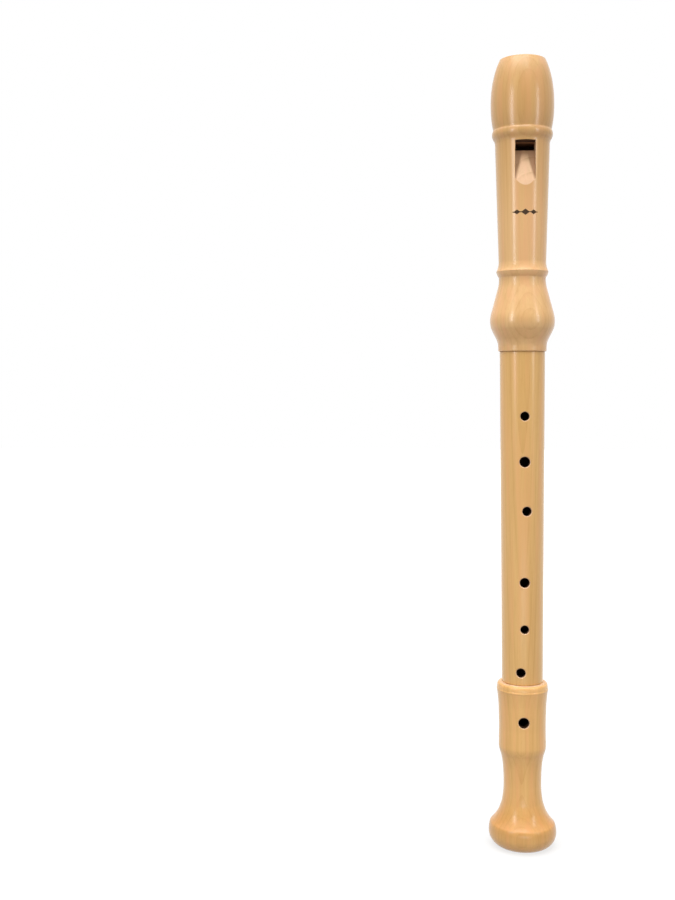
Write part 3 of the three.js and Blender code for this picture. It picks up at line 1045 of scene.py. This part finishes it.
block_r = (HEAD_BORE_R - BLOCK_GAP) * MM
block_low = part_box("block")[0].z
block = turned(
    "cedar_block",
    drawn(
        (0, block_low),
        [(block_r - END_CHAMFER * MM, block_low)],
        [(block_r, block_low + END_CHAMFER * MM)],
        [(block_r, head_top)],
        [(0, head_top)],
    ),
)
rib = crosswise(
    "windway_rib",
    [
        (0, block_low),
        (0, head_top),
        (WINDWAY_FLOOR_Y - RIB_SPARE, head_top),
        (WINDWAY_FLOOR_Y - RIB_SPARE, block_low),
    ],
    WINDWAY_WIDTH - 2 * BLOCK_GAP,
)
plane_off = crosswise(
    "plane_off",
    [
        (-CHISEL_REACH, block_low - MM),
        (WINDWAY_FLOOR_Y + EXIT_CHAMFER + 1, block_low - MM),
        (WINDWAY_FLOOR_Y, block_low + EXIT_CHAMFER * MM),
        (WINDWAY_FLOOR_Y, head_top + MM),
        (-CHISEL_REACH, head_top + MM),
    ],
    2 * CHISEL_REACH,
)
bpy.ops.object.select_all(action="DESELECT")
bpy.ops.mesh.primitive_cylinder_add(
    vertices=2 * FACETS,
    radius=BEAK_SCOOP_R * MM,
    depth=60 * MM,
    location=(0, scoop_axis_y, head_top),
    rotation=(0, math.pi / 2, 0),
)
scoop = bpy.context.object
bpy.ops.object.transform_apply(location=True, rotation=True)
combine(block, rib, "UNION")
combine(block, plane_off, "DIFFERENCE")
combine(block, scoop, "DIFFERENCE")

red_cedar, cedar_wood, _ = timber(
    "red_cedar",
    (0.02, 0.03, 0.0),
    (2, 3, 0),
    CEDAR_PALE,
    CEDAR_DEEP,
    CEDAR_ROSE,
    ring_count=210.0,
    ring_strength=0.7,
    pore_strength=0.15,
    roughness=0.62,
)
coated(
    red_cedar,
    cedar_wood["Color"],
    cedar_wood["Roughness"],
    cedar_wood["Height"],
    gloss=0.0,
    bump=0.04,
)
surfaced(block, [red_cedar], lambda centre, radius: 0)
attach(block, "block")
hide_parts("block")


# ------------------------------------------------------------------ Foot joint
# Maple, turned with a bead round the socket's mouth, a barrel with one hole, a waist and a bell.
# The bore runs on through it and opens in a shallow cup in the end that the recorder stands on.

FOOT_BORE_TOP_R = 6.9
FOOT_BORE_BOTTOM_R = 6.3
FOOT_MOUTH_R = 8.2
FOOT_MOUTH_DEPTH = 5
FOOT_HOLE_R = 3.2
FOOT_HOLE_DROP = 5.7
FOOT_HOLE_TURN = -3
BARE_RIM = 0.3
SOCKET_LIP_DEPTH = 1.0
HOLE_ZONE = 8

up = along(0.0, 1)
down = along(foot_top, -1)
foot_socket_r = (LOWER_TENON_R + CORK_PROUD) + FIT_GAP / MM
foot_socket_floor = middle_low - SOCKET_END_GAP * MM
mouth = up(FOOT_MOUTH_R, 0.5)
foot_outline = drawn(
    mouth,
    [up(FOOT_MOUTH_R, 0), up(FOOT_MOUTH_R + 0.5, 0)],
    [up(14.2, 0)],
    [up(15.4, 0), up(16.9, 1.1)],
    [up(20.35, 3.7), up(20.45, 8)],
    [up(20.4, 11.6), up(19.45, 13.5)],
    [up(16.2, 16.6), up(14.2, 20.9)],
    [up(13, 24), up(12.4, 26.4)],
    [up(11.35, 32), up(11.4, 37.5)],
    [up(11.45, 45), up(12.1, 50.3)],
    [up(12.6, 53.6), up(13.3, 56)],
    [up(14.1, 57.8), down(14.35, 39)],
    straight(down(14.35, 39), down(14.15, 28)),
    [down(14.3, 20), down(14.55, 13.5)],
    [down(14.8, 9.5), down(15.45, 5.0)],
    [down(15.62, 4.8), down(15.6, 4.3)],
    [down(15.55, 3.8), down(15.42, 3.6)],
    [down(15.38, 1.9), down(15.1, 1.2)],
    [down(14.8, 0.45), down(14.15, 0.25)],
    [down(13.95, 0.2), down(13.9, 0)],
    [down(foot_socket_r + LIP_SOFT, 0)],
    [down(foot_socket_r, 0), down(foot_socket_r, LIP_SOFT)],
    [(foot_socket_r * MM, foot_socket_floor)],
    [(FOOT_BORE_TOP_R * MM, foot_socket_floor)],
    [up(FOOT_BORE_BOTTOM_R, FOOT_MOUTH_DEPTH)],
    [mouth],
)
foot = turned("turned_foot", foot_outline)
foot_hole_height = foot_socket_floor - FOOT_HOLE_DROP * MM
foot_hole = drill("foot_hole", FOOT_HOLE_R, foot_hole_height, FOOT_HOLE_TURN, foot_outline)
combine(foot, foot_hole, "DIFFERENCE")


FOOT_PLACE, FOOT_LEAN = (0.004, 0.03, -0.01), (1.0, 0.5, 0)
FOOT_CAST = (1.08, 1.06, 1.06)
# Painted shade over the flare of the bell: a darker, more orange tone between the two spans.
FLARE_PAINTED_SHADE = (0.78, 0.72, 0.60, 1)
FLARE_SHADE_SPAN = (0.036, 0.018)
EDGE_SPAN = (0.004, 0.011)


def shaded_bell_maple():
    """The foot's maple, darkened as painted shade and warmed to a deeper orange in the flare of the bell, which
    fades out above the flare and again round the edge that it stands on."""
    material = finished_maple("maple_foot", FOOT_PLACE, FOOT_LEAN, FOOT_CAST)
    tree = material.node_tree
    surface = tree.nodes["Principled BSDF"]
    point = node(tree, "ShaderNodeTexCoord").outputs["Object"]
    height = node(tree, "ShaderNodeSeparateXYZ", {0: point}).outputs[2]
    tone = surface.inputs["Base Color"].links[0].from_socket
    flare = spread(tree, height, *FLARE_SHADE_SPAN)
    flare = math_node(tree, "MULTIPLY", flare, spread(tree, height, *EDGE_SPAN))
    tone = mixed(tree, flare, tone, FLARE_PAINTED_SHADE, "MULTIPLY")
    tree.links.new(tone, surface.inputs["Base Color"])
    return material


def foot_finish(centre, radius):
    """Oiled and dark with painted shade in the bore and the hole, raw in the socket, on the lips and the ends,
    lacquered outside.
    """
    if centre.z > foot_top - BARE_RIM * MM or centre.z < HAIR:
        return RAW
    depth = outside_radius(foot_outline, centre.z) - radius
    if centre.z > foot_socket_floor - NEAR / 2:
        return RAW if depth > SOCKET_LIP_DEPTH * MM else LACQUERED
    if depth > DARK_DEPTH * MM:
        return SHADED_OILED
    beside = max(abs(centre.x), abs(centre.z - foot_hole_height))
    on_hole = beside < HOLE_ZONE * MM and centre.y < 0
    return RAW if on_hole and depth > LIP_SHEEN * MM else LACQUERED


surfaced(
    foot,
    [
        shaded_bell_maple(),
        raw_maple("raw_maple_foot", FOOT_PLACE, FOOT_LEAN),
        shaded_bare_bore("oiled_shaded_maple_foot", FOOT_PLACE),
    ],
    foot_finish,
)
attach(foot, "foot")
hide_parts("foot_joint")
